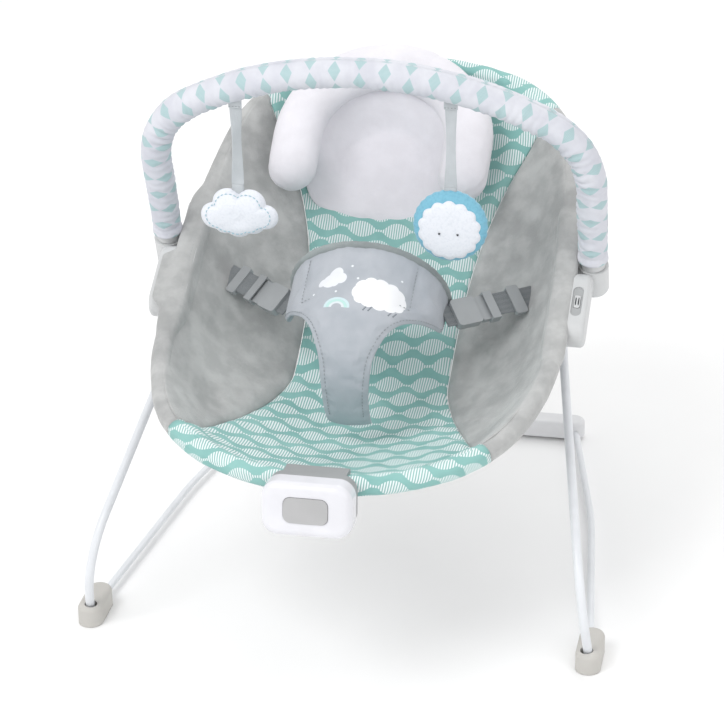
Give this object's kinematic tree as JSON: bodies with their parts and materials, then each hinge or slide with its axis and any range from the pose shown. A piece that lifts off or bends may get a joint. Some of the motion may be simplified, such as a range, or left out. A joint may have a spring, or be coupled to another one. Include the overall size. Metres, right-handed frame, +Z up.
{
  "type": "baby bouncer seat",
  "caption": "Baby bouncer seat: sprung wire frame with a fabric sling, head pillow, waist restraint, vibration unit and a lift-off toy bar with hanging toys.",
  "frame": {"origin": "on the floor, at the middle of the whole seat's length and width", "axes": "+Z up, +Y from the foot end to the head end, +X to the right of someone who faces the seat from the foot end"},
  "size_m": [0.527, 0.6264, 0.5533],
  "materials": {
    "wire_white": "gloss powder coat",
    "foot_rubber": "matte",
    "bar_plastic": "satin",
    "hub_plastic": "satin",
    "screw_steel": "satin",
    "tube_steel": "satin",
    "plush_grey": "matte",
    "print_teal": "matte",
    "pillow_velour": "matte",
    "panel_cotton": "matte",
    "webbing_grey": "matte",
    "buckle_plastic": "satin",
    "unit_white": "gloss",
    "unit_grey": "satin",
    "button_grey": "satin",
    "cell_wrap": "gloss",
    "contact_metal": "satin",
    "motor_can": "satin",
    "board_green": "satin",
    "sleeve_print": "matte",
    "ribbon_grey": "satin",
    "toy_white": "matte",
    "toy_blue": "matte"
  },
  "bodies": {
    "base": {"base_wire": "wire_white", "rear_bar_upper": "bar_plastic", "rear_bar_lower": "bar_plastic", "rear_bar_pads": "foot_rubber", "rear_bar_screws": "screw_steel", "foot_right": "foot_rubber", "foot_left": "foot_rubber"},
    "seat": {"leg_right": "wire_white", "leg_left": "wire_white", "hub_inner_right": "hub_plastic", "hub_inner_left": "hub_plastic", "hub_outer_right": "hub_plastic", "hub_outer_left": "hub_plastic", "hub_screws": "screw_steel", "seat_tube_back": "tube_steel", "seat_tube_front": "tube_steel", "seat_hem_back": "plush_grey", "seat_hem_front": "print_teal", "seat_cover_center": "print_teal", "seat_cover_side_right": "plush_grey", "seat_cover_side_left": "plush_grey", "head_pillow": "pillow_velour", "restraint_panel": "panel_cotton", "buckle_socket_right": "buckle_plastic", "buckle_socket_left": "buckle_plastic", "waist_strap_right": "webbing_grey", "waist_strap_left": "webbing_grey", "strap_adjuster_right": "buckle_plastic", "strap_adjuster_left": "buckle_plastic", "vib_front_case": "unit_white", "vib_rear_case": "unit_grey", "battery_cell": "cell_wrap", "battery_contacts": "contact_metal", "vib_motor": "motor_can", "switch_board": "board_green", "vib_clamp": "unit_grey", "vib_screws": "screw_steel"},
    "power_button": {"power_button": "button_grey"},
    "battery_door": {"battery_door": "unit_grey", "battery_door_screw": "screw_steel"},
    "eccentric_weight": {"eccentric_weight": "motor_can"},
    "toy_bar": {"toy_bar_tube": "tube_steel", "toy_bar_sleeve": "sleeve_print", "toy_bar_plug_right": "hub_plastic", "toy_bar_plug_left": "hub_plastic"},
    "ribbon_left": {"ribbon_left": "ribbon_grey"},
    "ribbon_right": {"ribbon_right": "ribbon_grey"},
    "cloud": {"cloud_toy": "toy_white"},
    "round_toy": {"round_toy": "toy_blue"},
    "leg_button_right": {"leg_button_right": "hub_plastic"},
    "buckle_tongue_right": {"buckle_tongue_right": "buckle_plastic"},
    "leg_button_left": {"leg_button_left": "hub_plastic"},
    "buckle_tongue_left": {"buckle_tongue_left": "buckle_plastic"}
  },
  "joints": [
    {"name": "seat_bounce", "type": "hinge", "parent": "base", "child": "seat", "pos_m": [0, -0.187, 0.009], "axis": [1, 0, 0], "range_deg": [-5, 2], "stiffness_Nm_per_rad": 180, "springref_deg": 1.65},
    {"name": "power_press", "type": "slide", "parent": "seat", "child": "power_button", "axis": [0, 0.9945, -0.1045], "range_m": [0, 0.0015], "stiffness_N_per_m": 600},
    {"name": "battery_door_lift", "type": "slide", "parent": "seat", "child": "battery_door", "axis": [0, -0.1045, -0.9945], "range_m": [0, 0.025]},
    {"name": "weight_spin", "type": "hinge", "parent": "seat", "child": "eccentric_weight", "pos_m": [0.014, -0.2891, 0.22498], "axis": [1, 0, 0], "continuous": true},
    {"name": "toy_bar_lift", "type": "slide", "parent": "seat", "child": "toy_bar", "axis": [0, -0.3239, 0.9461], "range_m": [0, 0.06]},
    {"name": "cloud_ribbon_swing", "type": "hinge", "parent": "toy_bar", "child": "ribbon_left", "pos_m": [-0.128, -0.01776, 0.51607], "axis": [0.9291, -0.1198, 0.35], "range_deg": [-50, 40]},
    {"name": "round_ribbon_swing", "type": "hinge", "parent": "toy_bar", "child": "ribbon_right", "pos_m": [0.086, -0.02219, 0.52902], "axis": [0.9686, 0.0805, -0.2352], "range_deg": [-50, 40]},
    {"name": "cloud_swing", "type": "hinge", "parent": "ribbon_left", "child": "cloud", "pos_m": [-0.128, -0.01776, 0.41407], "axis": [0, 1, 0], "range_deg": [-20, 20]},
    {"name": "round_toy_swing", "type": "hinge", "parent": "ribbon_right", "child": "round_toy", "pos_m": [0.086, -0.02219, 0.42702], "axis": [0, 1, 0], "range_deg": [-20, 20]},
    {"name": "leg_button_press_right", "type": "slide", "parent": "seat", "child": "leg_button_right", "axis": [0, 0.4802, -0.8771], "range_m": [0, 0.0025], "stiffness_N_per_m": 1200},
    {"name": "buckle_release_right", "type": "slide", "parent": "seat", "child": "buckle_tongue_right", "axis": [0.746, 0.6644, -0.0455], "range_m": [0, 0.014]},
    {"name": "leg_button_press_left", "type": "slide", "parent": "seat", "child": "leg_button_left", "axis": [0, 0.4802, -0.8771], "range_m": [0, 0.0025], "stiffness_N_per_m": 1200},
    {"name": "buckle_release_left", "type": "slide", "parent": "seat", "child": "buckle_tongue_left", "axis": [-0.746, 0.6644, -0.0455], "range_m": [0, 0.014]}
  ]
}
